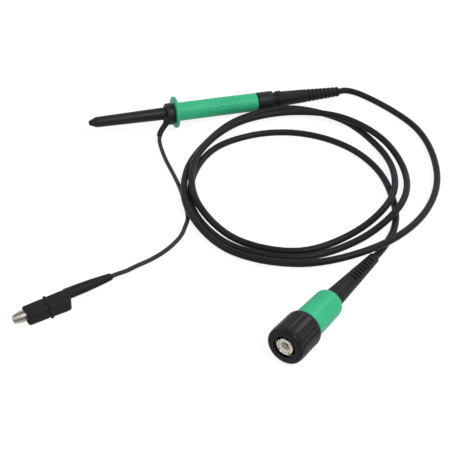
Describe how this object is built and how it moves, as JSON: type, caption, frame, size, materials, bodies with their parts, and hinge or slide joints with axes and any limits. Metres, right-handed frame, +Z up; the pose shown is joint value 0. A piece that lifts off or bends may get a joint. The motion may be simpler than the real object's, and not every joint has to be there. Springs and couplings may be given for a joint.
{
  "type": "oscilloscope probe",
  "caption": "Passive oscilloscope probe: hooked head with sliding sleeve and finger guard, coiled coaxial cable, bayonet plug with compensation housing, ground lead with a crocodile clip.",
  "frame": {"origin": "on the table under the middle of the probe head, measured without the cords, plug and clip", "axes": "+X along the probe head from its hook to its cable, +Y away from the coiled cable, +Z up from the table"},
  "size_m": [0.2445, 0.2078, 0.0191],
  "materials": {
    "black_plastic": "fine satin",
    "black_rubber": "matte moulded",
    "green_plastic": "satin moulded",
    "nickel": "bright nickel plate",
    "gold": "gold plate",
    "steel": "drawn wire and sheet",
    "dielectric": "waxy",
    "board": "solder mask",
    "resistor": "lacquer",
    "capacitor": "dipped resin",
    "trimmer": "moulded resin"
  },
  "bodies": {
    "probe": {"hook_wire": "gold", "tip_core": "black_plastic", "hook_spring": "steel", "ground_barrel": "nickel", "ground_collar": "black_plastic", "grip": "green_plastic", "attenuator_board": "board", "tip_resistor": "resistor", "tip_capacitor": "capacitor", "rear_cap": "black_plastic", "cable_ferrule": "nickel", "strain_relief": "black_rubber", "coax_cable": "black_rubber", "ground_relief": "black_rubber", "ground_lead": "black_rubber", "outer_contact": "nickel", "center_pin": "gold", "dielectric": "dielectric", "gasket": "black_rubber", "bnc_body": "nickel", "wave_washer": "steel", "comp_housing": "green_plastic", "comp_board": "board", "trimmer_body": "trimmer", "load_resistor": "resistor", "cable_boot": "black_rubber", "clip_boot": "black_rubber", "clip_fixed_jaw": "nickel", "clip_pin": "steel", "clip_spring": "steel"},
    "sleeve": {"hook_sleeve": "black_plastic"},
    "washer": {"thrust_washer": "steel"},
    "coupling": {"coupling_grip": "black_plastic", "bayonet_nut": "nickel"},
    "trimmer": {"trimmer_rotor": "gold"},
    "jaw": {"clip_moving_jaw": "nickel"}
  },
  "joints": [
    {"name": "hook_slide", "type": "slide", "parent": "probe", "child": "sleeve", "axis": [0.9981, 0, -0.0618], "range_m": [0, 0.006], "stiffness_N_per_m": 120, "springref_m": -0.003, "deforming": ["hook_spring"]},
    {"name": "nut_slide", "type": "slide", "parent": "probe", "child": "washer", "axis": [-0.7966, -0.5973, 0.0932], "range_m": [0, 0.0008], "stiffness_N_per_m": 600, "springref_m": -0.0005, "deforming": ["wave_washer"]},
    {"name": "nut_turn", "type": "hinge", "parent": "washer", "child": "coupling", "pos_m": [-0.02456, -0.18715, 0.00972], "axis": [-0.7966, -0.5973, 0.0932], "continuous": true},
    {"name": "trimmer_turn", "type": "hinge", "parent": "probe", "child": "trimmer", "pos_m": [-0.01191, -0.17266, 0.00796], "axis": [-0.5999, 0.8001, 0], "continuous": true},
    {"name": "jaw_turn", "type": "hinge", "parent": "probe", "child": "jaw", "pos_m": [-0.12365, -0.12788, 0.004], "axis": [0, 0, 1], "range_deg": [0, 10], "stiffness_Nm_per_rad": 0.04, "springref_deg": -17.19, "deforming": ["clip_spring"]}
  ]
}
